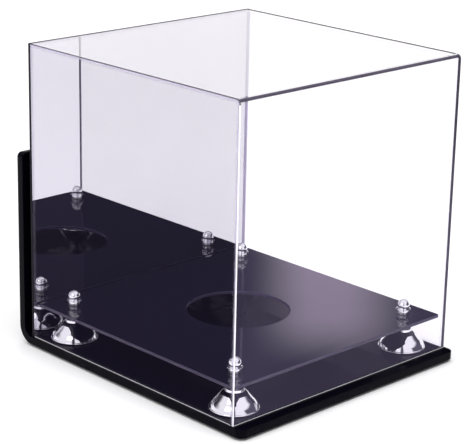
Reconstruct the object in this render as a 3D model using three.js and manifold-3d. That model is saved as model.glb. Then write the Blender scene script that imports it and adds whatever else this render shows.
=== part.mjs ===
// A display case for a full-size ball. A clear cover with a mirror back stands on a black acrylic
// base, which is one sheet bent up behind the cover into a wall plate. Inside, a thin black platform
// with a round seat for the ball stands on four chrome risers, each clamped by a ball-topped nut.
// Millimetres, +Z up. The front faces -Y. The origin is below the middle of the base, on the surface
// that the case stands on.

import * as THREE from 'three';
import { mergeVertices } from 'three/addons/utils/BufferGeometryUtils.js';
import Module from 'manifold-3d';

const wasm = await Module();
wasm.setup();

// ---------------------------------------------------------------- driving dimensions

const GLUE_GAP = 0.15; // solvent joint between two sheets of the cover
const REST_GAP = 0.1; // between pieces that only rest on each other

// Base and wall plate: one bent sheet
const BRACKET_WIDTH = 286;
const BRACKET_DEPTH = 311;
const BRACKET_HEIGHT = 190;
const BRACKET_SHEET = 8;
const BEND_INNER_RADIUS = 9;
const FRONT_CORNER_RADIUS = 8;
const TOP_CORNER_RADIUS = 5;
const WALL_HOLE_SPACING = 200;
const WALL_HOLE_HEIGHTS = [75, 165];
const WALL_HOLE_RADIUS = 2.75;
const WALL_COUNTERSINK_RADIUS = 5.5;

// Pads under the base
const PAD_RADIUS = 6.5;
const PAD_HEIGHT = 2;
const PAD_SPACING_X = 252;
const PAD_FRONT_Y = -136;
const PAD_BACK_Y = 122;

// Cover
const COVER_WIDTH = 282;
const COVER_HEIGHT = 289;
const COVER_SHEET = 3;
const COVER_SETBACK = 12; // the base's lip in front of the cover
const CLEAR_DEPTH = 279; // from the front face to the mirror sheet
const COVER_BEND_RADIUS = 5; // outside of the heat bend between front and top

// Platform
const PLATFORM_SIZE = 273;
const PLATFORM_SHEET = 3;
const PLATFORM_TOP = 34; // above the base's top face
const PLATFORM_CORNER_RADIUS = 2;
const BALL_SEAT_RADIUS = 50;

// Risers, with heights above the base's top face
const RISER_SPACING = 224;
const BELL_FOOT_RADIUS = 22.8;
const BELL_RIM_RADIUS = 1.2; // the rolled rim's own section
const BELL_HEIGHT = 20;
const NECK_RADIUS = 4.5;
const WASHER_RADIUS = 6;
const WASHER_SHEET = 1;
const FINIAL_BODY_RADIUS = 5.8;
const FINIAL_BODY_HEIGHT = 4.6;
const FINIAL_BRIM_RADIUS = 7.2;
const FINIAL_BRIM_HEIGHT = 0.8;
const FINIAL_BALL_RADIUS = 5.9;
const FINIAL_BALL_CENTRE = 8.3;
const FINIAL_FOOT_BEVEL = 0.3;
const FINIAL_BRIM_BEVEL = 0.2;
const FINIAL_BORE_SPARE = 1.5; // between the screw's tip and the end of the bore
const SCREW_RADIUS = 2;
const SCREW_CLEARANCE_RADIUS = 2.3;
const SCREW_HEAD_RADIUS = 4;
const SCREW_HEAD_HEIGHT = 2;
const SCREW_HEAD_INSET = 0.3; // the head's depth in its countersink
const SCREW_COUNTERSINK_RADIUS = 4.5;
const SCREW_TIP_BEVEL = 0.6;
const SCREW_SOCKET_RADIUS = 1.45; // across the corners of the hexagon
const SCREW_SOCKET_DEPTH = 1.4;
const THREAD_ENGAGED = 7; // ten turns of a 0.7 mm pitch

// A bell's side above its rolled rim, as radius and height: steep, then a cone, then a rounded
// shoulder and a short collar.
const BELL_SIDE = [
  [22.1, 2.5],
  [20.9, 5.2],
  [19.0, 7.8],
  [16.8, 10.2],
  [14.7, 12.6],
  [13.0, 14.6],
  [11.6, 16.4],
  [10.2, 17.1],
  [8.6, 17.3],
  [8.6, 19.2],
  [7.8, 20.0],
];

// The hollow under a bell, from its mouth up to its roof
const BELL_HOLLOW = [
  [19.6, 0],
  [19.0, 4.8],
  [15.2, 9.6],
  [11.4, 13.4],
];

const ROUND_SEGMENTS = 32;
const SCREW_SEGMENTS = 16;
const ARC_SEGMENTS = 4; // three.js draws twice as many straight steps to a quarter turn

// ---------------------------------------------------------------- derived places

const BASE_TOP = PAD_HEIGHT + BRACKET_SHEET;
const FRONT_Y = -BRACKET_DEPTH / 2;
const BACK_Y = BRACKET_DEPTH / 2;
const COVER_FRONT_Y = FRONT_Y + COVER_SETBACK;
const CLEAR_BACK_Y = COVER_FRONT_Y + CLEAR_DEPTH;
const MIRROR_BACK_Y = CLEAR_BACK_Y + COVER_SHEET;
const COVER_BOTTOM = BASE_TOP + REST_GAP;
const COVER_TOP = BASE_TOP + COVER_HEIGHT;
const INSIDE_CENTRE_Y = (COVER_FRONT_Y + MIRROR_BACK_Y) / 2;
const PLATFORM_TOP_Z = BASE_TOP + PLATFORM_TOP;
const PLATFORM_BOTTOM_Z = PLATFORM_TOP_Z - PLATFORM_SHEET;
const NECK_BOTTOM_Z = BASE_TOP + BELL_HEIGHT + 2 * REST_GAP;
const WASHER_BOTTOM_Z = PLATFORM_BOTTOM_Z - REST_GAP - WASHER_SHEET;
const FINIAL_BOTTOM_Z = PLATFORM_TOP_Z + REST_GAP;

// ---------------------------------------------------------------- materials

function material(color, roughness, metalness, opacity = 1) {
  return new THREE.MeshStandardMaterial({
    color,
    roughness,
    metalness,
    opacity,
    transparent: opacity < 1,
  });
}

const clearAcrylic = material(0xf4f3f8, 0.03, 0, 0.25);
const mirrorAcrylic = material(0xd9d8de, 0.03, 1);
const blackAcrylic = material(0x0b0a10, 0.06, 0);
const chrome = material(0xdcdce4, 0.05, 1);
const blackRubber = material(0x141416, 0.8, 0);
const zincSteel = material(0xa6a8ac, 0.35, 1);

// ---------------------------------------------------------------- geometry helpers

const X = new THREE.Vector3(1, 0, 0);
const Y = new THREE.Vector3(0, 1, 0);
const Z = new THREE.Vector3(0, 0, 1);

// Shares equal vertices and drops the triangles that collapse at a lathe's axis.
function weld(geometry) {
  geometry.deleteAttribute('normal');
  geometry.deleteAttribute('uv');
  const merged = mergeVertices(geometry, 1e-4);
  const index = merged.getIndex().array;
  const kept = [];
  for (let i = 0; i < index.length; i += 3) {
    const [a, b, c] = [index[i], index[i + 1], index[i + 2]];
    if (a !== b && b !== c && c !== a) {
      kept.push(a, b, c);
    }
  }
  merged.setIndex(kept);
  merged.computeVertexNormals();
  return merged;
}

function toSolid(geometry) {
  const welded = weld(geometry);
  return new wasm.Manifold(new wasm.Mesh({
    numProp: 3,
    vertProperties: new Float32Array(welded.getAttribute('position').array),
    triVerts: new Uint32Array(welded.getIndex().array),
  }));
}

function toGeometry(solid) {
  const mesh = solid.getMesh();
  const geometry = new THREE.BufferGeometry();
  geometry.setAttribute('position', new THREE.BufferAttribute(mesh.vertProperties, 3));
  geometry.setIndex(new THREE.BufferAttribute(mesh.triVerts, 1));
  geometry.computeVertexNormals();
  return geometry;
}

function extrude(shape, depth) {
  const settings = { depth, bevelEnabled: false, curveSegments: ARC_SEGMENTS };
  return new THREE.ExtrudeGeometry(shape, settings).translate(0, 0, -depth / 2);
}

// An outline drawn as (y, z), extruded to a width along X about x = 0.
function extrudeAlongX(shape, width) {
  return extrude(shape, width).applyMatrix4(new THREE.Matrix4().makeBasis(Y, Z, X));
}

// An outline drawn as (x, z), extruded to a depth along Y about y = 0.
function extrudeAlongY(shape, depth) {
  const backwards = Y.clone().negate();
  return extrude(shape, depth).applyMatrix4(new THREE.Matrix4().makeBasis(X, Z, backwards));
}

// A profile of (radius, z) points turned about the Z axis. Its outer side runs upwards.
function turned(profile, segments = ROUND_SEGMENTS) {
  const points = profile.map(([radius, z]) => new THREE.Vector2(radius, z));
  return weld(new THREE.LatheGeometry(points, segments).rotateX(Math.PI / 2));
}

// A turned ring: the profile closes on itself around its bore.
function turnedRing(profile, segments = ROUND_SEGMENTS) {
  return turned([...profile, profile[0]], segments);
}

// Points of an arc in a profile, from one angle to another in degrees.
function arcPoints(centreRadius, centreZ, arcRadius, fromDegrees, toDegrees, steps) {
  const points = [];
  for (let i = 0; i <= steps; i += 1) {
    const angle = THREE.MathUtils.degToRad(fromDegrees + ((toDegrees - fromDegrees) * i) / steps);
    points.push([centreRadius + arcRadius * Math.cos(angle), centreZ + arcRadius * Math.sin(angle)]);
  }
  return points;
}

// A rectangle with its own radius at each corner: low-low, high-low, high-high, low-high.
function roundedRectangle(x0, y0, x1, y1, [r00, r10, r11, r01]) {
  const quarter = Math.PI / 2;
  const shape = new THREE.Shape();
  const corner = (x, y, radius, start) => {
    if (radius > 0) {
      shape.absarc(x, y, radius, start, start + quarter, false);
    } else {
      shape.lineTo(x, y);
    }
  };
  shape.moveTo(x0 + r00, y0);
  corner(x1 - r10, y0 + r10, r10, -quarter);
  corner(x1 - r11, y1 - r11, r11, 0);
  corner(x0 + r01, y1 - r01, r01, quarter);
  corner(x0 + r00, y0 + r00, r00, 2 * quarter);
  return shape;
}

function mesh(name, geometry, finish) {
  const piece = new THREE.Mesh(geometry, finish);
  piece.name = name;
  return piece;
}

// The four corners of a rectangle of fixings, with the words used in the pieces' names.
function corners(spacingX, frontY, backY) {
  return [
    { name: 'front_left', x: -spacingX / 2, y: frontY },
    { name: 'front_right', x: spacingX / 2, y: frontY },
    { name: 'back_left', x: -spacingX / 2, y: backY },
    { name: 'back_right', x: spacingX / 2, y: backY },
  ];
}

const riserPlaces = corners(
  RISER_SPACING,
  INSIDE_CENTRE_Y - RISER_SPACING / 2,
  INSIDE_CENTRE_Y + RISER_SPACING / 2,
);

// ---------------------------------------------------------------- base and wall plate

// The sheet's section: flat under the cover, then bent up behind it.
function bracketSection() {
  const outer = BEND_INNER_RADIUS + BRACKET_SHEET;
  const bendY = BACK_Y - outer;
  const bendZ = PAD_HEIGHT + outer;
  const topZ = PAD_HEIGHT + BRACKET_HEIGHT;
  const section = new THREE.Shape();
  section.moveTo(FRONT_Y, PAD_HEIGHT);
  section.lineTo(bendY, PAD_HEIGHT);
  section.absarc(bendY, bendZ, outer, -Math.PI / 2, 0, false);
  section.lineTo(BACK_Y, topZ);
  section.lineTo(BACK_Y - BRACKET_SHEET, topZ);
  section.absarc(bendY, bendZ, BEND_INNER_RADIUS, 0, -Math.PI / 2, true);
  section.lineTo(FRONT_Y, BASE_TOP);
  return section;
}

// A screw's way through a sheet, with its countersink opening downwards at z = 0.
function countersunkHole(radius, sinkRadius, length) {
  const below = 1;
  const sinkDepth = sinkRadius - radius;
  return turned([
    [0, -below],
    [sinkRadius, -below],
    [sinkRadius, 0],
    [radius, sinkDepth],
    [radius, length],
    [0, length],
  ]);
}

function wallBracket() {
  const half = BRACKET_WIDTH / 2;
  const topZ = PAD_HEIGHT + BRACKET_HEIGHT;
  const beyond = 10;
  const plan = roundedRectangle(
    -half, FRONT_Y, half, BACK_Y + beyond,
    [FRONT_CORNER_RADIUS, FRONT_CORNER_RADIUS, 0, 0],
  );
  const elevation = roundedRectangle(
    -half, PAD_HEIGHT - beyond, half, topZ,
    [0, 0, TOP_CORNER_RADIUS, TOP_CORNER_RADIUS],
  );
  let solid = toSolid(extrudeAlongX(bracketSection(), BRACKET_WIDTH + beyond))
    .intersect(toSolid(extrude(plan, 2 * (topZ + beyond))))
    .intersect(toSolid(extrudeAlongY(elevation, BRACKET_DEPTH + 2 * beyond)));
  const screwHole = toSolid(
    countersunkHole(SCREW_CLEARANCE_RADIUS, SCREW_COUNTERSINK_RADIUS, BRACKET_SHEET + beyond),
  );
  for (const { x, y } of riserPlaces) {
    solid = solid.subtract(screwHole.translate([x, y, PAD_HEIGHT]));
  }
  const wallHole = toSolid(
    countersunkHole(WALL_HOLE_RADIUS, WALL_COUNTERSINK_RADIUS, BRACKET_SHEET + beyond)
      .rotateX(-Math.PI / 2),
  );
  for (const side of [-1, 1]) {
    for (const height of WALL_HOLE_HEIGHTS) {
      const x = (side * WALL_HOLE_SPACING) / 2;
      solid = solid.subtract(wallHole.translate([x, BACK_Y - BRACKET_SHEET, height]));
    }
  }
  return mesh('wall_bracket', toGeometry(solid), blackAcrylic);
}

function footPads() {
  return corners(PAD_SPACING_X, PAD_FRONT_Y, PAD_BACK_Y).map(({ name, x, y }) => {
    const bevel = 0.5;
    const top = PAD_HEIGHT - REST_GAP;
    const pad = mesh(`foot_pad_${name}`, turned([
      [0, 0],
      [PAD_RADIUS - bevel, 0],
      [PAD_RADIUS, bevel],
      [PAD_RADIUS, top],
      [0, top],
    ]), blackRubber);
    pad.position.set(x, y, 0);
    return pad;
  });
}

// ---------------------------------------------------------------- platform and risers

function displayPlatform() {
  const half = PLATFORM_SIZE / 2;
  const radii = Array(4).fill(PLATFORM_CORNER_RADIUS);
  const outline = roundedRectangle(-half, -half, half, half, radii);
  const addHole = (x, y, radius) => {
    outline.holes.push(new THREE.Path().absarc(x, y, radius, 0, 2 * Math.PI, true));
  };
  addHole(0, 0, BALL_SEAT_RADIUS);
  for (const { x, y } of riserPlaces) {
    addHole(x, y - INSIDE_CENTRE_Y, SCREW_CLEARANCE_RADIUS);
  }
  const circleSteps = ROUND_SEGMENTS / 2;
  const settings = { depth: PLATFORM_SHEET, bevelEnabled: false, curveSegments: circleSteps };
  const platform = mesh(
    'display_platform',
    weld(new THREE.ExtrudeGeometry(outline, settings)),
    blackAcrylic,
  );
  platform.position.set(0, INSIDE_CENTRE_Y, PLATFORM_BOTTOM_Z);
  return platform;
}

// A spun bell with a rolled rim, hollow underneath.
function riserBell() {
  const rimCentre = BELL_FOOT_RADIUS - BELL_RIM_RADIUS;
  return turnedRing([
    ...arcPoints(rimCentre, BELL_RIM_RADIUS, BELL_RIM_RADIUS, -90, 60, 5),
    ...BELL_SIDE,
    [SCREW_CLEARANCE_RADIUS, BELL_HEIGHT],
    [SCREW_CLEARANCE_RADIUS, BELL_HOLLOW.at(-1)[1]],
    ...BELL_HOLLOW.toReversed(),
  ]);
}

function riserNeck() {
  const bevel = 0.5;
  const length = WASHER_BOTTOM_Z - REST_GAP - NECK_BOTTOM_Z;
  return turnedRing([
    [SCREW_CLEARANCE_RADIUS, 0],
    [NECK_RADIUS - bevel, 0],
    [NECK_RADIUS, bevel],
    [NECK_RADIUS, length - bevel],
    [NECK_RADIUS - bevel, length],
    [SCREW_CLEARANCE_RADIUS, length],
  ]);
}

function riserWasher() {
  return turnedRing([
    [SCREW_CLEARANCE_RADIUS, 0],
    [WASHER_RADIUS, 0],
    [WASHER_RADIUS, WASHER_SHEET],
    [SCREW_CLEARANCE_RADIUS, WASHER_SHEET],
  ]);
}

// The nut that clamps the platform: a plain body, a thin brim and a ball, with a blind bore.
function riserFinial() {
  const brimTop = FINIAL_BODY_HEIGHT + FINIAL_BRIM_HEIGHT;
  const boreDepth = THREAD_ENGAGED + FINIAL_BORE_SPARE;
  const brimEdge = FINIAL_BRIM_HEIGHT / 2;
  const startAngle = -Math.asin((FINIAL_BALL_CENTRE - brimTop) / FINIAL_BALL_RADIUS);
  return turned([
    [0, boreDepth],
    [SCREW_CLEARANCE_RADIUS, boreDepth],
    [SCREW_CLEARANCE_RADIUS, 0],
    [FINIAL_BODY_RADIUS - FINIAL_FOOT_BEVEL, 0],
    [FINIAL_BODY_RADIUS, FINIAL_FOOT_BEVEL],
    [FINIAL_BODY_RADIUS, FINIAL_BODY_HEIGHT],
    [FINIAL_BRIM_RADIUS - FINIAL_BRIM_BEVEL, FINIAL_BODY_HEIGHT],
    [FINIAL_BRIM_RADIUS, FINIAL_BODY_HEIGHT + brimEdge],
    [FINIAL_BRIM_RADIUS - FINIAL_BRIM_BEVEL, brimTop],
    ...arcPoints(
      0, FINIAL_BALL_CENTRE, FINIAL_BALL_RADIUS,
      THREE.MathUtils.radToDeg(startAngle), 90, 9,
    ).map(([radius, z]) => [Math.max(radius, 0), z]),
  ]);
}

// A countersunk machine screw: its head is up inside the base, its tip inside the finial.
function riserScrew() {
  const headBottom = PAD_HEIGHT + SCREW_HEAD_INSET;
  const tip = FINIAL_BOTTOM_Z + THREAD_ENGAGED;
  const shank = toSolid(turned([
    [0, headBottom],
    [SCREW_HEAD_RADIUS, headBottom],
    [SCREW_RADIUS, headBottom + SCREW_HEAD_HEIGHT],
    [SCREW_RADIUS, tip - SCREW_TIP_BEVEL],
    [SCREW_RADIUS - SCREW_TIP_BEVEL, tip],
    [0, tip],
  ], SCREW_SEGMENTS));
  const socket = new THREE.CylinderGeometry(
    SCREW_SOCKET_RADIUS, SCREW_SOCKET_RADIUS, 2 * SCREW_SOCKET_DEPTH, 6,
  ).rotateX(Math.PI / 2).translate(0, 0, headBottom);
  return toGeometry(shank.subtract(toSolid(socket)));
}

function risers() {
  const kinds = [
    { name: 'riser_bell', shape: riserBell(), z: BASE_TOP + REST_GAP, finish: chrome },
    { name: 'riser_neck', shape: riserNeck(), z: NECK_BOTTOM_Z, finish: chrome },
    { name: 'riser_washer', shape: riserWasher(), z: WASHER_BOTTOM_Z, finish: blackRubber },
    { name: 'riser_finial', shape: riserFinial(), z: FINIAL_BOTTOM_Z, finish: chrome },
    { name: 'riser_screw', shape: riserScrew(), z: 0, finish: zincSteel },
  ];
  const group = new THREE.Group();
  for (const place of riserPlaces) {
    for (const { name, shape, z, finish } of kinds) {
      const piece = mesh(`${name}_${place.name}`, shape, finish);
      piece.position.set(place.x, place.y, z);
      group.add(piece);
    }
  }
  return group;
}

// ---------------------------------------------------------------- cover

// The front and the top are one sheet, bent along the top front edge.
function coverFrontTop() {
  const inner = COVER_BEND_RADIUS - COVER_SHEET;
  const bendY = COVER_FRONT_Y + COVER_BEND_RADIUS;
  const bendZ = COVER_TOP - COVER_BEND_RADIUS;
  const backY = CLEAR_BACK_Y - GLUE_GAP;
  const section = new THREE.Shape();
  section.moveTo(COVER_FRONT_Y, COVER_BOTTOM);
  section.lineTo(COVER_FRONT_Y + COVER_SHEET, COVER_BOTTOM);
  section.absarc(bendY, bendZ, inner, Math.PI, Math.PI / 2, true);
  section.lineTo(backY, COVER_TOP - COVER_SHEET);
  section.lineTo(backY, COVER_TOP);
  section.absarc(bendY, bendZ, COVER_BEND_RADIUS, Math.PI / 2, Math.PI, false);
  return mesh('cover_front_top', weld(extrudeAlongX(section, COVER_WIDTH)), clearAcrylic);
}

// A side sheet is glued inside the bent sheet, so its top front corner follows the bend.
function coverSide(name, side) {
  const outline = roundedRectangle(
    COVER_FRONT_Y + COVER_SHEET + GLUE_GAP,
    COVER_BOTTOM,
    CLEAR_BACK_Y - GLUE_GAP,
    COVER_TOP - COVER_SHEET - GLUE_GAP,
    [0, 0, 0, COVER_BEND_RADIUS - COVER_SHEET],
  );
  const sheet = mesh(name, weld(extrudeAlongX(outline, COVER_SHEET)), clearAcrylic);
  sheet.position.x = (side * (COVER_WIDTH - COVER_SHEET)) / 2;
  return sheet;
}

function coverMirrorBack() {
  const half = COVER_WIDTH / 2;
  const outline = roundedRectangle(-half, COVER_BOTTOM, half, COVER_TOP, [0, 0, 0, 0]);
  const sheet = mesh('cover_mirror_back', weld(extrudeAlongY(outline, COVER_SHEET)), mirrorAcrylic);
  sheet.position.y = (CLEAR_BACK_Y + MIRROR_BACK_Y) / 2;
  return sheet;
}

function cover() {
  const group = new THREE.Group();
  group.add(
    coverFrontTop(),
    coverSide('cover_left_side', -1),
    coverSide('cover_right_side', 1),
    coverMirrorBack(),
  );
  return group;
}

// ---------------------------------------------------------------- assembly

const displayCase = new THREE.Group();
displayCase.add(wallBracket(), ...footPads(), displayPlatform(), risers(), cover());

export default displayCase;
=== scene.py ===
"""Looks for the ball display case: polished sheets with cut and flamed edges, spun chrome risers,
a pale studio floor and the camera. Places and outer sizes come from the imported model. The sizes
that its boxes don't give are named below and agree with the CAD."""

import math

import bmesh
import bpy
from mathutils import Matrix, Vector


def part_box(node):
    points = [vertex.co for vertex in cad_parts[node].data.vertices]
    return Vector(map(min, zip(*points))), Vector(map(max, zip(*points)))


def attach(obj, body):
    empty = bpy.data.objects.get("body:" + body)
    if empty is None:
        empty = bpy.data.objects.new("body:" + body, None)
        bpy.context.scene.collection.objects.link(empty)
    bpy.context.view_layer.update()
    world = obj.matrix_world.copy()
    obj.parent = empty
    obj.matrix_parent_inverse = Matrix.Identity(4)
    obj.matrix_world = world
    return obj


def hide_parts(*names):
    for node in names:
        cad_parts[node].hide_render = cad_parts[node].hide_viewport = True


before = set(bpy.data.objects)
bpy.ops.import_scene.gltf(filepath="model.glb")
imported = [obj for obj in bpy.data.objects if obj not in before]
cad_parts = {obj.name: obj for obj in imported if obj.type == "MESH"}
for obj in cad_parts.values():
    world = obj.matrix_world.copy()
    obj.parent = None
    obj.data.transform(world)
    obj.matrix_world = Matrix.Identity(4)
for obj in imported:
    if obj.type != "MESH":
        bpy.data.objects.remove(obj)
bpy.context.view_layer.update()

MM = 0.001
PLACES = ("front_left", "front_right", "back_left", "back_right")

# ---------------------------------------------------------------- sizes the CAD boxes don't give

COVER_SHEET = 3 * MM
BASE_SHEET = 8 * MM
EDGE_ROUND = 0.35 * MM  # the polished rounding of the platform's and the mirror's edges
COVER_EDGE_ROUND = 0.8 * MM  # the clear sheets' edges are flame polished, which rounds them more
BASE_EDGE_ROUND = 0.6 * MM
BASE_BEND_INNER = 9 * MM
COVER_BEND_INNER = 2 * MM
BASE_FRONT_CORNER = 8 * MM
BASE_TOP_CORNER = 5 * MM
PLATFORM_CORNER = 2 * MM
SEAT_RADIUS = 50 * MM
SCREW_HOLE = 2.3 * MM
SCREW_SINK = 4.5 * MM
WALL_HOLE = 2.75 * MM
WALL_SINK = 5.5 * MM
WALL_HOLE_X = 100 * MM
WALL_HOLE_HEIGHTS = (75 * MM, 165 * MM)
CUTTER_REACH = 30 * MM  # how far the countersinks' cutter goes past the sheet
SEAM_WIDTH = 5 * MM  # the glued seam along the top's right end, which carries painted shade
DARK_BEND_FROM = 0.30  # the stretch of the heat bend that is painted dark, a painted shade, as shares of its length
DARK_BEND_TO = 0.72
LOW_EDGE = 30 * MM  # the heights over which a cut edge's painted shade turns to its lower look near the base
HIGH_EDGE = 220 * MM

# ---------------------------------------------------------------- how fine the meshes are

BEND_STEPS = 28
CORNER_STEPS = 12
SEAT_STEPS = 128
HOLE_STEPS = 32
COUNTERSINK_STEPS = 40
BELL_STEPS = 96
FINIAL_STEPS = 64
SMALL_STEPS = 48  # the necks, washers, screws and pads
CREASE = math.radians(35)  # edges sharper than this stay sharp
SQUARE_ON = 0.99  # the least share of a broad face's normal along its axis
SAME_POINT = 0.001 * MM  # points closer than this are joined
ON_PLANE = 0.0001 * MM  # points closer than this to a plane or an axis are on it

# ---------------------------------------------------------------- gloss

BOTH_FACES = 1.8  # a thin sheet reflects nearly twice as much as one of its faces
LEAST_GLOSS = 0.055

# ---------------------------------------------------------------- camera and light

# The room round the case. Bearings are in degrees from +Y towards +X and heights are in degrees
# above the horizon. Each pair is where a zone begins and where it is whole.
BACKDROP_LEFT = (44.5, 47.0)
BACKDROP_RIGHT = (50.8, 47.8)
BACKDROP_TOP = (22.5, 20.5)
LOW_WHITE_TOP = (16.5, 15)
OVERHEAD_START = (30, 42)
DARK_SIDE_LEFT = (95, 110)
DARK_SIDE_RIGHT = (175, 160)
NEAR_SIDE_LEFT = (-20, -60)
NEAR_SIDE_RIGHT = (165, 176)
CAMERA_BEARING = -135
CAMERA_GAP = (11, 4)  # to either side of that bearing
CAMERA_GAP_TOP = (75, 60)
ROOM_DARK = 0.035
ROOM_NEAR = 0.95
LOW_WHITE = 1.08
BACKDROP_WHITE = 1.38
BACKDROP_TINT = (0.94, 0.79, 1.0)
ROOM_TINT = (0.995, 0.985, 1.0)
OVERHEAD = 0.98
SOFTBOX_POWER = 2
SOFTBOX_SIZE = 0.7
SOFTBOX_PLACE = Vector((-1.2, -0.3, 1.1))
CEILING_POWER = 1.7
CEILING_SPREAD = math.radians(70)
FLOOR_SIZE = 24
FLOOR_GAP = 0.2 * MM  # keeps the floor clear of the pads

CAMERA_AZIMUTH = -44.185
CAMERA_ELEVATION = 17.6375
CAMERA_ROLL = 1.287
CAMERA_DISTANCE = 1.6786
CAMERA_AIM = Vector((0.0210, 0.02386, 0.12055))
CAMERA_LENS = 131.67
SENSOR_WIDTH = 36.0


def add_camera():
    """Puts the camera at CAMERA_DISTANCE from its aim, turned a little about its own axis."""
    azimuth = math.radians(CAMERA_AZIMUTH)
    elevation = math.radians(CAMERA_ELEVATION)
    back = Vector((
        math.sin(azimuth) * math.cos(elevation),
        -math.cos(azimuth) * math.cos(elevation),
        math.sin(elevation),
    ))
    data = bpy.data.cameras.new("camera")
    data.lens = CAMERA_LENS
    data.sensor_width = SENSOR_WIDTH
    data.sensor_fit = "HORIZONTAL"
    data.clip_start = 0.05
    data.clip_end = 60
    camera = bpy.data.objects.new("camera", data)
    bpy.context.scene.collection.objects.link(camera)
    turn = back.to_track_quat("Z", "Y").to_matrix().to_4x4()
    roll = Matrix.Rotation(math.radians(CAMERA_ROLL), 4, "Z")
    camera.matrix_world = Matrix.Translation(CAMERA_AIM + back * CAMERA_DISTANCE) @ turn @ roll
    bpy.context.scene.camera = camera


add_camera()

# ---------------------------------------------------------------- material helpers


def feed(tree, value, socket):
    """Links a socket to another node's output, or sets it to a number or a colour."""
    if isinstance(value, bpy.types.NodeSocket):
        tree.links.new(value, socket)
    else:
        socket.default_value = value


def maths_node(tree, operation, a, b):
    node = tree.nodes.new("ShaderNodeMath")
    node.operation = operation
    feed(tree, a, node.inputs[0])
    feed(tree, b, node.inputs[1])
    return node.outputs["Value"]


class Shader:
    """A material's node tree with short calls for the nodes used here."""

    def __init__(self, name):
        self.material = bpy.data.materials.new(name)
        self.material.use_nodes = True
        self.tree = self.material.node_tree
        self.tree.nodes.clear()
        self.output = self.tree.nodes.new("ShaderNodeOutputMaterial")

    def node(self, kind, **settings):
        node = self.tree.nodes.new(kind)
        for key, value in settings.items():
            setattr(node, key, value)
        return node

    def link(self, source, target):
        self.tree.links.new(source, target)

    def place(self, scale=(1, 1, 1)):
        """Object coordinates, stretched."""
        coordinates = self.node("ShaderNodeTexCoord")
        mapping = self.node("ShaderNodeMapping")
        mapping.inputs["Scale"].default_value = scale
        self.link(coordinates.outputs["Object"], mapping.inputs["Vector"])
        return mapping.outputs["Vector"]

    def noise(self, place, scale, detail=2.0, roughness=0.5):
        node = self.node("ShaderNodeTexNoise")
        node.inputs["Scale"].default_value = scale
        node.inputs["Detail"].default_value = detail
        node.inputs["Roughness"].default_value = roughness
        self.link(place, node.inputs["Vector"])
        return node.outputs["Fac"]

    def span(self, value, low, high, start=0.0, end=1.0):
        """value from start..end, spread over low..high."""
        node = self.node("ShaderNodeMapRange")
        node.inputs["From Min"].default_value = start
        node.inputs["From Max"].default_value = end
        node.inputs["To Min"].default_value = low
        node.inputs["To Max"].default_value = high
        self.link(value, node.inputs["Value"])
        return node.outputs["Result"]

    def maths(self, operation, a, b):
        return maths_node(self.tree, operation, a, b)

    def blend(self, factor, first, second):
        """A colour between two colours."""
        node = self.node("ShaderNodeMix", data_type="RGBA")
        self.link(factor, node.inputs[0])
        node.inputs[6].default_value = (*first, 1)
        node.inputs[7].default_value = (*second, 1)
        return node.outputs[2]

    def bump(self, height, distance, strength=1.0):
        node = self.node("ShaderNodeBump")
        node.inputs["Strength"].default_value = strength
        node.inputs["Distance"].default_value = distance
        self.link(height, node.inputs["Height"])
        return node.outputs["Normal"]

    def principled(self, **values):
        """Keys are socket names with _ for a space; a value is a number, a tuple or a socket."""
        node = self.node("ShaderNodeBsdfPrincipled")
        for key, value in values.items():
            feed(self.tree, value, node.inputs[key.replace("_", " ")])
        return node.outputs["BSDF"]

    def mix(self, factor, first, second):
        node = self.node("ShaderNodeMixShader")
        feed(self.tree, factor, node.inputs[0])
        self.link(first, node.inputs[1])
        self.link(second, node.inputs[2])
        return node.outputs["Shader"]

    def fresnel(self, index, normal):
        node = self.node("ShaderNodeFresnel")
        node.inputs["IOR"].default_value = index
        self.link(normal, node.inputs["Normal"])
        return node.outputs["Fac"]

    def gloss(self, colour, roughness, normal):
        node = self.node("ShaderNodeBsdfGlossy")
        node.inputs["Color"].default_value = (*colour, 1)
        self.link(roughness, node.inputs["Roughness"])
        self.link(normal, node.inputs["Normal"])
        return node.outputs["BSDF"]

    def glow(self, colour):
        node = self.node("ShaderNodeEmission")
        self.link(colour, node.inputs["Color"])
        return node.outputs["Emission"]

    def add(self, first, second):
        node = self.node("ShaderNodeAddShader")
        self.link(first, node.inputs[0])
        self.link(second, node.inputs[1])
        return node.outputs["Shader"]

    def clear(self, colour):
        """colour is a socket or a colour with its alpha."""
        node = self.node("ShaderNodeBsdfTransparent")
        feed(self.tree, colour, node.inputs["Color"])
        return node.outputs["BSDF"]

    def finish(self, shader):
        self.link(shader, self.output.inputs["Surface"])
        return self.material


def black_acrylic(name, index, cast, lighter_cast):
    """Deep black sheet with a navy cast, partly painted reflection, a little waviness and handling
    marks.
    """
    s = Shader(name)
    place = s.place()
    smudge = s.noise(place, 16, 3, 0.5)
    return s.finish(s.principled(
        Base_Color=s.blend(s.noise(place, 9, 2), cast, lighter_cast),
        Roughness=s.span(smudge, 0.0, 0.03, 0.4, 0.75),
        IOR=index,
        Normal=s.bump(s.noise(place, 6, 0), 0.4 * MM, 0.06),
    ))


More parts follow.
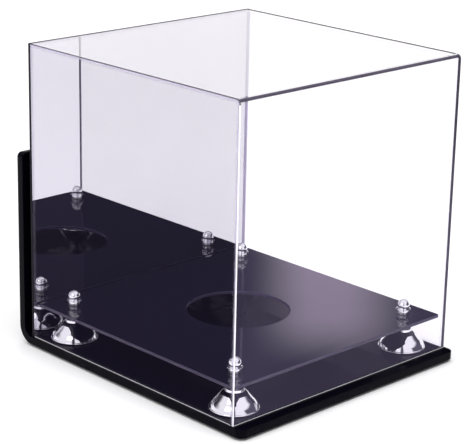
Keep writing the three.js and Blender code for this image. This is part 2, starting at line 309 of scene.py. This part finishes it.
def clear_sheet(name, index, tint, painted_reflection):
    """A sheet's broad faces: seen through, glossy at a slant, with a faint painted reflection, a
    glow.

    Gloss weaker than LEAST_GLOSS is left out; the painted reflection stands for it.
    """
    s = Shader(name)
    place = s.place()
    haze = s.noise(place, 12, 3, 0.5)
    normal = s.bump(s.noise(place, 5, 0), 0.3 * MM, 0.1)
    geometry = s.node("ShaderNodeNewGeometry")
    outside = s.maths("SUBTRACT", 1.0, geometry.outputs["Backfacing"])
    both_faces = s.maths("MULTIPLY", s.fresnel(index, normal), BOTH_FACES)
    visible = s.maths("MAXIMUM", s.maths("SUBTRACT", both_faces, LEAST_GLOSS), 0.0)
    gloss = s.gloss(GLOSS_TINT, s.span(haze, 0.0, 0.03, 0.45, 0.8), normal)
    smudged = s.blend(s.span(haze, 0, 1, 0.3, 0.8), tint, tuple(0.99 * c for c in tint))
    reflection_glow = s.blend(haze, tuple(0.9 * c for c in painted_reflection), tuple(1.1 * c for c in painted_reflection))
    # The glow is a painted reflection: the sheet gives off light though it is no lamp.
    body = s.add(s.clear(smudged), s.glow(reflection_glow))
    s.material.cycles.emission_sampling = "NONE"
    return s.finish(s.mix(s.maths("MULTIPLY", visible, outside), body, gloss))


def cut_edge(name, colour, tint, opening, low_colour=None, low_opening=None, glow=0.0):
    """A sheet's narrow faces: partly seen through, with painted highlight or painted shade in their
    colour for the light that they gather along the sheet.

    opening is the share that is seen through, tinted by tint. low_colour and low_opening are
    what the painted colour and opening turn to near the base. glow is a painted glow, an emission
    that stands in for the light that the sheet carries to its edges from its broad faces.
    """
    s = Shader(name)
    place = s.place()
    streak = s.noise(s.place((1, 1, 0.12)), 160, 2)
    separate = s.node("ShaderNodeSeparateXYZ")
    s.link(place, separate.inputs["Vector"])
    height = s.span(separate.outputs["Z"], 0, 1, LOW_EDGE, HIGH_EDGE)
    shade = s.blend(height, low_colour or colour, colour)
    marks = s.node("ShaderNodeMix", data_type="RGBA", blend_type="MULTIPLY")
    marks.inputs[0].default_value = 1
    s.link(shade, marks.inputs[6])
    s.link(s.blend(streak, (0.86, 0.86, 0.88), (1, 1, 1)), marks.inputs[7])
    # The base colour and the emission are painted highlight or painted shade, set for each edge.
    body = s.principled(
        Base_Color=marks.outputs[2],
        Roughness=s.span(s.noise(place, 90, 2), 0.08, 0.2),
        IOR=1.3,
        Emission_Color=(0.96, 0.95, 1.0, 1),
        Emission_Strength=glow,
    )
    if low_opening is not None:
        opening = s.span(height, low_opening, opening)
    return s.finish(s.mix(opening, body, s.clear((*tint, 1))))


def glued_seam_and_shade():
    """The glued seam under the top sheet's right end: clear from above, painted shade at a slant."""
    s = Shader("glued_seam_and_shade")
    bubble = s.noise(s.place(), 160, 2)
    body = s.principled(
        Base_Color=s.blend(bubble, (0.018, 0.015, 0.018), (0.023, 0.020, 0.023)),
        Roughness=s.span(bubble, 0.08, 0.2),
        IOR=1.04,
    )
    slant = s.node("ShaderNodeLayerWeight").outputs["Facing"]
    return s.finish(s.mix(s.span(slant, 0, 1, 0.4, 0.75), s.clear((0.95, 0.945, 0.965, 1)), body))


def mirror_silver():
    """The silvering seen through the sheet: lavender, very slightly wavy."""
    s = Shader("mirror_silver")
    place = s.place()
    wave = s.noise(place, 7, 2)
    haze = s.noise(place, 26, 5, 0.6)
    return s.finish(s.principled(
        Base_Color=s.blend(haze, (0.66, 0.655, 0.69), (0.69, 0.685, 0.72)),
        Metallic=1.0,
        Roughness=s.span(haze, 0.0, 0.015, 0.4, 0.8),
        Normal=s.bump(wave, 0.5 * MM, 0.08),
    ))


def mirror_backing():
    """The painted coat that protects the silvering, and the sheet's dark edges."""
    s = Shader("mirror_backing")
    place = s.place()
    speck = s.noise(place, 900, 3)
    return s.finish(s.principled(
        Base_Color=s.blend(s.noise(place, 60, 4), (0.010, 0.009, 0.013), (0.018, 0.016, 0.022)),
        Roughness=s.span(speck, 0.25, 0.4),
        IOR=1.1,
        Normal=s.bump(speck, 0.05 * MM, 0.5),
    ))


def chrome():
    """Polished plate over a spun part: fine turning lines and a few soft marks."""
    s = Shader("chrome")
    place = s.place()
    mark = s.noise(place, 140, 4, 0.6)
    lines = s.noise(s.place((0.02, 0.02, 1)), 6500, 2)
    return s.finish(s.principled(
        Base_Color=s.blend(mark, (0.855, 0.8455, 0.893), (0.90, 0.89, 0.94)),
        Metallic=1.0,
        Roughness=s.span(mark, 0.015, 0.07, 0.35, 0.8),
        Normal=s.bump(lines, 0.003 * MM, 0.25),
    ))


def zinc_steel():
    """Dull plated steel, lightly mottled."""
    s = Shader("zinc_steel")
    place = s.place()
    mark = s.noise(place, 900, 4)
    return s.finish(s.principled(
        Base_Color=s.blend(mark, (0.42, 0.43, 0.45), (0.60, 0.61, 0.62)),
        Metallic=1.0,
        Roughness=s.span(mark, 0.25, 0.45),
        Normal=s.bump(mark, 0.02 * MM, 0.4),
    ))


def rubber():
    """Matt black rubber with a fine grain."""
    s = Shader("rubber")
    grain = s.noise(s.place(), 2600, 3)
    return s.finish(s.principled(
        Base_Color=s.blend(grain, (0.012, 0.012, 0.013), (0.030, 0.029, 0.030)),
        Roughness=s.span(grain, 0.6, 0.9),
        Normal=s.bump(grain, 0.06 * MM, 0.6),
    ))


def studio_floor():
    """Matt white paper."""
    s = Shader("studio_floor")
    grain = s.noise(s.place(), 3, 3)
    return s.finish(s.principled(
        Base_Color=s.blend(grain, (0.90, 0.90, 0.905), (0.92, 0.92, 0.922)),
        Roughness=s.span(grain, 0.8, 0.9),
        Specular_IOR_Level=0.2,
    ))


CLEAR_TINT = (0.985, 0.98, 0.988)
GLOSS_TINT = (0.93, 0.92, 0.95)
BASE_BLACK = black_acrylic("base_acrylic", 1.12, (0.0010, 0.0008, 0.0030), (0.0016, 0.0013, 0.0040))
SHELF_BLACK = black_acrylic("shelf_acrylic", 1.50, (0.0030, 0.0026, 0.0100), (0.0042, 0.0036, 0.0125))
# The platform's cut edges are painted a lighter purple grey: a painted reflection of the room.
SHELF_EDGE = black_acrylic("shelf_edge", 1.30, (0.036, 0.028, 0.054), (0.050, 0.040, 0.072))
# The last colour of each clear sheet is its painted reflection; the front sheet has the strongest.
CLEAR = clear_sheet("clear_acrylic", 1.12, CLEAR_TINT, (0.0037, 0.0030, 0.0064))
CLEAR_FRONT = clear_sheet("clear_acrylic_front", 1.12, CLEAR_TINT, (0.0190, 0.0158, 0.0275))
CLEAR_TOP = clear_sheet("clear_acrylic_top", 1.44, CLEAR_TINT, (0.0010, 0.0010, 0.0012))
# Painted shade: the dark stretch of the heat bend.
BEND = cut_edge("heat_bend_painted_shade", (0.055, 0.045, 0.075), (0.6, 0.56, 0.68), 0.05)
# Painted highlight: a near white edge that also glows though it is no lamp.
LIGHT_EDGE = cut_edge("light_edge", (0.85, 0.84, 0.88), (0.9, 0.88, 0.95), 0.08, glow=0.45)
# Painted light: a lavender edge, half seen through.
LAVENDER_EDGE = cut_edge("lavender_edge", (0.62, 0.58, 0.74), (0.8, 0.76, 0.88), 0.5)
# Painted shade: a dark edge, lighter near the base.
DARK_EDGE = cut_edge("dark_edge", (0.020, 0.016, 0.028), (0.3, 0.26, 0.36), 0.04,
                     (0.11, 0.10, 0.14), 0.10)
# Painted shade: a thin dark brown line.
BROWN_EDGE = cut_edge("brown_edge", (0.050, 0.042, 0.048), (0.4, 0.36, 0.4), 0.25)
SEAM = glued_seam_and_shade()
# Faint painted shade, mostly seen through.
FAINT_EDGE = cut_edge("faint_edge", (0.50, 0.48, 0.56), (0.95, 0.945, 0.965), 0.93)
EDGES = [LIGHT_EDGE, LAVENDER_EDGE, DARK_EDGE, BROWN_EDGE, FAINT_EDGE]
# A cover sheet's zones, in the order that its materials are given to paint().
BROAD, LIGHT, LAVENDER, DARK, BROWN, FAINT, TOP, BENT, GLUED = range(9)
SILVER = mirror_silver()
BACKING = mirror_backing()
CHROME = chrome()
ZINC = zinc_steel()
RUBBER = rubber()
FLOOR = studio_floor()

# ---------------------------------------------------------------- mesh helpers


def middle(box):
    """The middle of a box, which is a pair of opposite corners."""
    return (Vector(box[0]) + Vector(box[1])) / 2


def circle(x, y, radius, steps):
    """Points round a circle."""
    turn = 2 * math.pi / steps
    return [(x + radius * math.cos(i * turn), y + radius * math.sin(i * turn)) for i in range(steps)]


def rounded_outline(x0, y0, x1, y1, radii):
    """A rectangle's corners in order low-low, high-low, high-high, low-high, each rounded."""
    corners = ((x0, y0, 1, 1, 180), (x1, y0, -1, 1, 270), (x1, y1, -1, -1, 0), (x0, y1, 1, -1, 90))
    points = []
    for (x, y, inward_x, inward_y, start), radius in zip(corners, radii):
        if radius == 0:
            points.append((x, y))
            continue
        for i in range(CORNER_STEPS + 1):
            angle = math.radians(start + 90 * i / CORNER_STEPS)
            points.append((
                x + inward_x * radius + radius * math.cos(angle),
                y + inward_y * radius + radius * math.sin(angle),
            ))
    return points


def plate(name, outline, thickness, edge_round, holes=()):
    """A flat sheet about z = 0 with rounded cut edges, made from its outline and its holes."""
    curve = bpy.data.curves.new(name, "CURVE")
    curve.dimensions = "2D"
    curve.fill_mode = "BOTH"
    curve.extrude = thickness / 2 - edge_round
    curve.bevel_depth = edge_round
    curve.bevel_resolution = 1
    curve.offset = -edge_round
    for points in (outline, *holes):
        spline = curve.splines.new("POLY")
        spline.points.add(len(points) - 1)
        spline.use_cyclic_u = True
        for point, (x, y) in zip(spline.points, points):
            point.co = (x, y, 0, 1)
    source = bpy.data.objects.new(name + ".curve", curve)
    bpy.context.scene.collection.objects.link(source)
    depsgraph = bpy.context.evaluated_depsgraph_get()
    mesh = bpy.data.meshes.new_from_object(source.evaluated_get(depsgraph))
    mesh.name = name
    bpy.data.objects.remove(source)
    piece = bpy.data.objects.new(name, mesh)
    bpy.context.scene.collection.objects.link(piece)
    work = bmesh.new()
    work.from_mesh(mesh)
    bmesh.ops.remove_doubles(work, verts=work.verts, dist=SAME_POINT)
    bmesh.ops.recalc_face_normals(work, faces=work.faces)
    work.to_mesh(mesh)
    work.free()
    return piece


def cut_countersinks(piece, centres, hole, sink, face, way):
    """Cuts screw holes whose cones open on the face at z = face; way is +1 if they open upwards."""
    work = bmesh.new()
    reach = way * CUTTER_REACH
    profile = (
        (sink + CUTTER_REACH, face + reach),
        (hole, face - way * (sink - hole)),
        (hole, face - reach),
    )
    for x, y in centres:
        rings = []
        for radius, z in profile:
            ring = circle(x, y, radius, COUNTERSINK_STEPS)
            rings.append([work.verts.new((px, py, z)) for px, py in ring])
        for low, high in zip(rings, rings[1:]):
            for i in range(len(low)):
                j = (i + 1) % len(low)
                work.faces.new((low[i], low[j], high[j], high[i]))
        work.faces.new(rings[0])
        work.faces.new(rings[-1])
    bmesh.ops.recalc_face_normals(work, faces=work.faces)
    mesh = bpy.data.meshes.new("cutter")
    work.to_mesh(mesh)
    work.free()
    cutter = bpy.data.objects.new("cutter", mesh)
    bpy.context.scene.collection.objects.link(cutter)
    modifier = piece.modifiers.new("holes", "BOOLEAN")
    modifier.operation = "DIFFERENCE"
    modifier.solver = "EXACT"
    modifier.object = cutter
    bake_modifiers(piece)
    bpy.data.objects.remove(cutter)


def bake_modifiers(piece):
    """Gives the piece the mesh that its modifiers make, and takes them off."""
    depsgraph = bpy.context.evaluated_depsgraph_get()
    mesh = bpy.data.meshes.new_from_object(piece.evaluated_get(depsgraph))
    piece.modifiers.clear()
    piece.data = mesh


def divide(piece, axis, places):
    """Cuts a flat sheet's faces, but not the sheet, by planes across an axis."""
    work = bmesh.new()
    work.from_mesh(piece.data)
    normal = Vector((0, 0, 0))
    normal[axis] = 1
    for place in places:
        everything = work.verts[:] + work.edges[:] + work.faces[:]
        bmesh.ops.bisect_plane(work, geom=everything, dist=ON_PLANE, plane_co=normal * place,
                               plane_no=normal)
    work.to_mesh(piece.data)
    work.free()


def divide_bend(piece, start, length):
    """Cuts a flat sheet across its Y direction into the strips that a bend needs."""
    divide(piece, 1, [start + length * i / BEND_STEPS for i in range(BEND_STEPS + 1)])


def bend_up(piece, start, inner, thickness):
    """Bends a flat sheet lying along +Y up through a right angle, from y = start."""
    centre_line = inner + thickness / 2
    length = centre_line * math.pi / 2
    for vert in piece.data.vertices:
        along = vert.co.y - start
        if along <= 0:
            continue
        angle = min(along, length) / centre_line
        radius = centre_line - vert.co.z
        beyond = max(along - length, 0)
        vert.co.y = start + radius * math.sin(angle) + beyond * math.cos(angle)
        vert.co.z = centre_line - radius * math.cos(angle) + beyond * math.sin(angle)


def shade(piece):
    """Smooth shading with creases at the sharper edges."""
    mesh = piece.data
    mesh.polygons.foreach_set("use_smooth", [True] * len(mesh.polygons))
    mesh.set_sharp_from_angle(angle=CREASE)
    modifier = piece.modifiers.new("even_normals", "WEIGHTED_NORMAL")
    modifier.keep_sharp = True
    modifier.weight = 100
    bake_modifiers(piece)


def paint(piece, choose, *materials):
    """Gives each face of the piece the material that choose(face) picks by its number."""
    piece.data.materials.clear()
    for material in materials:
        piece.data.materials.append(material)
    for face in piece.data.polygons:
        face.material_index = choose(face)


def turned(name, profile, steps):
    """Turns a closed or axis-to-axis profile of (radius, z) about the Z axis."""
    work = bmesh.new()
    rings = []
    for radius, z in profile:
        if radius < ON_PLANE:
            rings.append([work.verts.new((0, 0, z))])
        else:
            rings.append([work.verts.new((x, y, z)) for x, y in circle(0, 0, radius, steps)])
    pairs = list(zip(rings, rings[1:]))
    if len(rings[0]) > 1 and len(rings[-1]) > 1:
        pairs.append((rings[-1], rings[0]))
    for low, high in pairs:
        for i in range(steps):
            j = (i + 1) % steps
            corners = [low[i % len(low)], low[j % len(low)], high[j % len(high)], high[i % len(high)]]
            corners = list(dict.fromkeys(corners))
            if len(corners) > 2:
                work.faces.new(corners)
    bmesh.ops.recalc_face_normals(work, faces=work.faces)
    mesh = bpy.data.meshes.new(name)
    work.to_mesh(mesh)
    work.free()
    piece = bpy.data.objects.new(name, mesh)
    bpy.context.scene.collection.objects.link(piece)
    return piece


def arc(radius, z, size, start, end, steps):
    """Points of a rounded stretch of a profile, by angles in degrees."""
    points = []
    for i in range(steps + 1):
        angle = math.radians(start + (end - start) * i / steps)
        points.append((max(radius + size * math.cos(angle), 0), z + size * math.sin(angle)))
    return points


def eased(points, steps=5):
    """A smooth line through profile points, which must not turn back sharply."""
    out = []
    last = len(points) - 1
    for i in range(last):
        p0, p1 = points[max(i - 1, 0)], points[i]
        p2, p3 = points[i + 1], points[min(i + 2, last)]
        for j in range(steps):
            t = j / steps
            out.append(tuple(
                0.5 * (2 * b + (c - a) * t + (2 * a - 5 * b + 4 * c - d) * t * t
                       + (3 * b - a - 3 * c + d) * t ** 3)
                for a, b, c, d in zip(p0, p1, p2, p3)
            ))
    return [*out, points[-1]]


def in_mm(points):
    """Profile points given in mm, turned into metres."""
    return [(radius * MM, z * MM) for radius, z in points]


def in_place_of(node, piece, body):
    """Shows the piece for a CAD node, on the body."""
    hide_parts(node)
    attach(piece, body)


# ---------------------------------------------------------------- the cover

SHARP_CORNERS = (0, 0, 0, 0)
# How a flat sheet is turned into place. A column is where the sheet's own X, Y or Z goes.
TURNED_OVER = Matrix(((1, 0, 0, 0), (0, -1, 0, 0), (0, 0, -1, 0), (0, 0, 0, 1)))
FACING_SIDEWAYS = Matrix(((0, 0, 1, 0), (1, 0, 0, 0), (0, 1, 0, 0), (0, 0, 0, 1)))
STOOD_UP = Matrix(((1, 0, 0, 0), (0, 0, -1, 0), (0, 1, 0, 0), (0, 0, 0, 1)))


def edge_band(face):
    """Where a face of a flat sheet lies: on a broad face, or on which part of its rounded edge."""
    if abs(face.normal.z) > SQUARE_ON:
        return "broad"
    if abs(face.center.z) < COVER_SHEET / 2 - COVER_EDGE_ROUND:
        return "flat"
    return "upper" if face.center.z > 0 else "lower"


def cover_front_top():
    """The sheet that is bent along the top front edge. It is painted while it is flat.

    The flat sheet lies upside down, its inner face up, with the back of the top at y = 0.
    """
    low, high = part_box("cover_front_top")
    width = high.x - low.x
    bend_radius = COVER_BEND_INNER + COVER_SHEET
    flat = high.y - low.y - bend_radius
    bend = (COVER_BEND_INNER + COVER_SHEET / 2) * math.pi / 2
    upright = high.z - low.z - bend_radius
    outline = rounded_outline(-width / 2, 0, width / 2, flat + bend + upright, SHARP_CORNERS)
    piece = plate("cover_front_top_visual", outline, COVER_SHEET, COVER_EDGE_ROUND)
    divide_bend(piece, flat, bend)
    seam = width / 2 - SEAM_WIDTH
    divide(piece, 0, [seam])

    # Each cut edge and the bend take the painted highlight or painted shade that shows at their
    # place.
    def choose(face):
        x, y, z = face.center
        in_top = y < flat
        in_front = y > flat + bend
        band = edge_band(face)
        outer = band == "lower"
        if band == "broad":
            if in_front:
                return BROAD
            if in_top and z < 0 and x > seam:
                return GLUED
            dark = z < 0 and DARK_BEND_FROM < (y - flat) / bend < DARK_BEND_TO
            return BENT if dark else TOP
        if x < COVER_EDGE_ROUND - width / 2:
            if outer:
                return LIGHT if in_front else BROWN
            return LAVENDER if band == "flat" else FAINT
        if x > width / 2 - COVER_EDGE_ROUND:
            if in_top:
                return GLUED if outer else FAINT
            return DARK
        if outer:
            return LIGHT if in_front else LAVENDER
        return FAINT

    paint(piece, choose, CLEAR_FRONT, *EDGES, CLEAR_TOP, BEND, SEAM)
    bend_up(piece, flat, COVER_BEND_INNER, COVER_SHEET)
    place = Matrix.Translation((0, high.y, high.z - COVER_SHEET / 2))
    piece.data.transform(place @ TURNED_OVER)
    shade(piece)
    in_place_of("cover_front_top", piece, "cover")


def cover_side(node, side, back_edge):
    """A side sheet; side is -1 at the left and 1 at the right, and its outline is in Y and Z."""
    low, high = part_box(node)
    outline = rounded_outline(low.y, low.z, high.y, high.z, (0, 0, 0, COVER_BEND_INNER))
    piece = plate(node + "_visual", outline, high.x - low.x, COVER_EDGE_ROUND)

    # Each cut edge takes the painted highlight or painted shade that shows at its place.
    def choose(face):
        y, z, x = face.center
        band = edge_band(face)
        if band == "broad":
            return BROAD
        if z < low.z + COVER_EDGE_ROUND:
            return LIGHT if x * side > 0 and band != "flat" else FAINT
        return back_edge if y > high.y - COVER_EDGE_ROUND else FAINT

    paint(piece, choose, CLEAR, *EDGES)
    place = Matrix.Translation((middle((low, high)).x, 0, 0))
    piece.data.transform(place @ FACING_SIDEWAYS)
    shade(piece)
    in_place_of(node, piece, "cover")


def cover_mirror():
    """The back sheet: silver on its front face, painted behind."""
    low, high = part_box("cover_mirror_back")
    outline = rounded_outline(low.x, low.z, high.x, high.z, SHARP_CORNERS)
    piece = plate("cover_mirror_visual", outline, high.y - low.y, EDGE_ROUND)
    place = Matrix.Translation((0, middle((low, high)).y, 0))
    piece.data.transform(place @ STOOD_UP)
    shade(piece)
    paint(piece, lambda face: 0 if face.normal.y < -SQUARE_ON else 1, SILVER, BACKING)
    in_place_of("cover_mirror_back", piece, "cover")


cover_front_top()
cover_side("cover_left_side", -1, FAINT)
cover_side("cover_right_side", 1, LAVENDER)
cover_mirror()

# ---------------------------------------------------------------- the base and the platform


def riser_centres():
    """The risers' places on the base, as x and y."""
    return [middle(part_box("riser_bell_" + place)).xy for place in PLACES]


def wall_bracket():
    """The base and the wall plate, cut and drilled as one flat sheet and then bent up."""
    low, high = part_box("wall_bracket")
    width = high.x - low.x
    bend_radius = BASE_BEND_INNER + BASE_SHEET
    flat_end = high.y - bend_radius
    plate_start = flat_end + (BASE_BEND_INNER + BASE_SHEET / 2) * math.pi / 2
    above_bend = low.z + bend_radius
    outline = rounded_outline(
        -width / 2, low.y, width / 2, plate_start + high.z - above_bend,
        (BASE_FRONT_CORNER, BASE_FRONT_CORNER, BASE_TOP_CORNER, BASE_TOP_CORNER),
    )
    piece = plate("wall_bracket_visual", outline, BASE_SHEET, BASE_EDGE_ROUND)
    cut_countersinks(piece, riser_centres(), SCREW_HOLE, SCREW_SINK, -BASE_SHEET / 2, -1)
    wall_holes = [
        (side * WALL_HOLE_X, plate_start + height - above_bend)
        for side in (-1, 1)
        for height in WALL_HOLE_HEIGHTS
    ]
    cut_countersinks(piece, wall_holes, WALL_HOLE, WALL_SINK, BASE_SHEET / 2, 1)
    divide_bend(piece, flat_end, plate_start - flat_end)
    bend_up(piece, flat_end, BASE_BEND_INNER, BASE_SHEET)
    piece.data.transform(Matrix.Translation((0, 0, low.z + BASE_SHEET / 2)))
    shade(piece)
    paint(piece, lambda face: 0, BASE_BLACK)
    in_place_of("wall_bracket", piece, "base")


def display_platform():
    """The raised platform, with the round seat for the ball and the risers' holes."""
    low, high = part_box("display_platform")
    centre = middle((low, high))
    holes = [circle(centre.x, centre.y, SEAT_RADIUS, SEAT_STEPS)]
    holes += [circle(x, y, SCREW_HOLE, HOLE_STEPS) for x, y in riser_centres()]
    outline = rounded_outline(low.x, low.y, high.x, high.y, (PLATFORM_CORNER,) * 4)
    piece = plate("display_platform_visual", outline, high.z - low.z, EDGE_ROUND, holes)
    piece.data.transform(Matrix.Translation((0, 0, centre.z)))
    shade(piece)
    paint(piece, lambda face: 0 if abs(face.normal.z) > SQUARE_ON else 1, SHELF_BLACK, SHELF_EDGE)
    in_place_of("display_platform", piece, "base")


wall_bracket()
display_platform()

# ---------------------------------------------------------------- the risers and the pads

# Each profile is a list of (radius, height) in mm, from the piece's foot.


def bell_profile():
    """A rolled rim, a flared cone, a round shoulder and a collar, with a thick wall inside."""
    rim = arc(21.6, 1.2, 1.2, -90, 70, 10)
    cone = eased([(22.1, 2.45), (20.9, 5.2), (19.0, 7.8), (16.8, 10.2), (14.7, 12.6), (12.95, 14.6)])
    shoulder = arc(7.24, 9.64, 7.56, 43, 78, 9)
    collar = [(8.75, 17.1), (8.6, 17.3), (8.6, 19.2), *arc(7.8, 19.2, 0.8, 10, 90, 6)]
    inside = [(2.4, 20.0), (2.4, 13.4), (10.4, 13.4), (14.6, 9.4), (18.6, 4.8), (19.6, 0.0)]
    return in_mm([*rim, *cone, *shoulder, *collar, *inside])


def finial_profile():
    """A short body, a thin brim and a ball, with a bore up to the screw's end."""
    body = [(5.4, 0.0), (5.75, 0.3), (5.8, 0.8), (5.65, 2.4), (5.4, 4.2), (5.1, 4.6)]
    brim = [(6.5, 4.7), *arc(6.85, 5.0, 0.3, -70, 80, 6), (5.7, 5.5)]
    ball = arc(0, 8.3, 5.9, -26, 90, 26)
    bore = [(0, 9.0), (2.3, 9.0), (2.3, 0.0)]
    return in_mm([*bore, *body, *brim, *ball])


def ring_profile(radius, height, bevel):
    """A round spacer with a hole for the screw and bevelled outer edges."""
    bore = 2.4
    face = radius - bevel
    outside = [(face, 0), (radius, bevel), (radius, height - bevel), (face, height)]
    return in_mm([(bore, 0), *outside, (bore, height)])


def pad_profile(height):
    """A round foot, hollowed a little underneath."""
    edge = [(5.9, 0.0), (6.3, 0.15), (6.5, 0.5), (6.5, height - 0.1), (6.4, height)]
    return in_mm([(0, 0.12), (4.8, 0.12), (5.2, 0.0), *edge, (0, height)])


def screw_profile(height):
    """A countersunk machine screw, head down, with a round socket in its head."""
    socket = [(0, 1.4), (1.25, 1.4), (1.25, 0.1), (1.45, 0)]
    head = [(3.9, 0), (4.0, 0.15), (2.1, 2.1), (2.0, 2.4)]
    return in_mm([*socket, *head, (2.0, height - 0.6), (1.4, height), (0, height)])


def height_of(node):
    """A CAD node's height in mm."""
    low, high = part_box(node)
    return (high.z - low.z) / MM


def stand(node, name, profile, steps, material, body):
    """Turns a piece from its profile and stands it where its CAD node stands."""
    low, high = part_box(node)
    centre = middle((low, high))
    piece = turned(name, profile, steps)
    piece.data.transform(Matrix.Translation((centre.x, centre.y, low.z)))
    shade(piece)
    paint(piece, lambda face: 0, material)
    in_place_of(node, piece, body)


def add_bell(place):
    stand("riser_bell_" + place, "bell_visual_" + place, bell_profile(), BELL_STEPS,
          CHROME, "base")


def add_neck(place):
    node = "riser_neck_" + place
    stand(node, "neck_visual_" + place, ring_profile(4.5, height_of(node), 0.4), SMALL_STEPS,
          CHROME, "base")


def add_washer(place):
    node = "riser_washer_" + place
    stand(node, "washer_visual_" + place, ring_profile(6.0, height_of(node), 0.2), SMALL_STEPS,
          RUBBER, "base")


def add_finial(place):
    stand("riser_finial_" + place, "finial_visual_" + place, finial_profile(), FINIAL_STEPS,
          CHROME, "finial_" + place)


def add_screw(place):
    node = "riser_screw_" + place
    stand(node, "screw_visual_" + place, screw_profile(height_of(node)), SMALL_STEPS,
          ZINC, "base")


def add_pad(place):
    node = "foot_pad_" + place
    stand(node, "pad_visual_" + place, pad_profile(height_of(node)), SMALL_STEPS,
          RUBBER, "base")


for place in PLACES:
    add_bell(place)
    add_neck(place)
    add_washer(place)
    add_finial(place)
    add_screw(place)
    add_pad(place)

# ---------------------------------------------------------------- floor and lights


def add_floor():
    bpy.ops.mesh.primitive_grid_add(x_subdivisions=4, y_subdivisions=4, size=FLOOR_SIZE)
    floor = bpy.context.object
    floor.name = "floor"
    floor.location.z = -FLOOR_GAP
    floor.data.materials.append(FLOOR)


def add_light(name, kind, power):
    data = bpy.data.lights.new(name, kind)
    data.energy = power
    light = bpy.data.objects.new(name, data)
    bpy.context.scene.collection.objects.link(light)
    return light


def add_softbox():
    """A weak square light at the left, turned to the case."""
    light = add_light("softbox", "AREA", SOFTBOX_POWER)
    light.data.shape = "RECTANGLE"
    light.data.size = SOFTBOX_SIZE
    light.data.size_y = SOFTBOX_SIZE
    light.location = SOFTBOX_PLACE
    light.rotation_euler = (SOFTBOX_PLACE - CAMERA_AIM).to_track_quat("Z", "Y").to_euler()


def add_ceiling_light():
    """Even light from above that keeps the floor white; the chrome doesn't mirror it."""
    light = add_light("ceiling", "SUN", CEILING_POWER)
    light.data.angle = CEILING_SPREAD
    light.visible_glossy = False


def add_world():
    """The studio, lit by direction: white low down, dark behind the case, bright near and above.

    The backdrop is a lit strip in the dark, which the platform shows. The room is dark round the
    camera's bearing, so that the chrome has something dark to show.
    """
    world = bpy.data.worlds.new("studio")
    bpy.context.scene.world = world
    world.use_nodes = True
    tree = world.node_tree
    background = tree.nodes["Background"]

    def maths(operation, a, b=0.0):
        return maths_node(tree, operation, a, b)

    def ramp(angle, edge):
        """0 where the edge begins and 1 where it is whole, eased; the edge is in degrees."""
        begins, whole = edge
        node = tree.nodes.new("ShaderNodeMapRange")
        node.interpolation_type = "SMOOTHSTEP"
        node.inputs["From Min"].default_value = math.radians(begins)
        node.inputs["From Max"].default_value = math.radians(whole)
        tree.links.new(angle, node.inputs["Value"])
        return node.outputs["Result"]

    def both(a, b):
        return maths("MULTIPLY", a, b)

    def lerp(a, b, factor):
        """a where the factor is 0, b where it is 1."""
        return maths("ADD", both(a, maths("SUBTRACT", 1.0, factor)), both(b, factor))

    coordinates = tree.nodes.new("ShaderNodeTexCoord")
    separate = tree.nodes.new("ShaderNodeSeparateXYZ")
    tree.links.new(coordinates.outputs["Generated"], separate.inputs["Vector"])
    x, y, z = separate.outputs
    bearing = maths("ARCTAN2", x, y)
    height = maths("ARCSINE", z)
    low_room = ramp(height, LOW_WHITE_TOP)
    strip = both(ramp(bearing, BACKDROP_LEFT), ramp(bearing, BACKDROP_RIGHT))
    backdrop = both(strip, ramp(height, BACKDROP_TOP))
    behind = lerp(lerp(ROOM_DARK, BACKDROP_WHITE, backdrop), LOW_WHITE, low_room)
    dark_side = both(ramp(bearing, DARK_SIDE_LEFT), ramp(bearing, DARK_SIDE_RIGHT))
    near_side = maths("MAXIMUM", ramp(bearing, NEAR_SIDE_LEFT), ramp(bearing, NEAR_SIDE_RIGHT))
    walls = lerp(lerp(behind, ROOM_DARK, dark_side), ROOM_NEAR, near_side)
    room = lerp(walls, OVERHEAD, ramp(height, OVERHEAD_START))
    off_camera = maths("ABSOLUTE", maths("SUBTRACT", bearing, math.radians(CAMERA_BEARING)))
    gap = both(ramp(off_camera, CAMERA_GAP), ramp(height, CAMERA_GAP_TOP))
    tree.links.new(lerp(room, ROOM_DARK, gap), background.inputs["Strength"])

    tint = tree.nodes.new("ShaderNodeMix")
    tint.data_type = "RGBA"
    tint.inputs[6].default_value = (*ROOM_TINT, 1)
    tint.inputs[7].default_value = (*BACKDROP_TINT, 1)
    tree.links.new(both(backdrop, maths("SUBTRACT", 1.0, low_room)), tint.inputs[0])
    tree.links.new(tint.outputs[2], background.inputs["Color"])


add_floor()
add_world()
add_softbox()
add_ceiling_light()

# The rays pass through several clear sheets and off the mirror, the platform and the chrome.
scene = bpy.context.scene
scene.view_settings.view_transform = "Standard"
scene.cycles.max_bounces = 16
scene.cycles.glossy_bounces = 10
scene.cycles.transmission_bounces = 12
scene.cycles.transparent_max_bounces = 48
scene.cycles.denoising_prefilter = "ACCURATE"
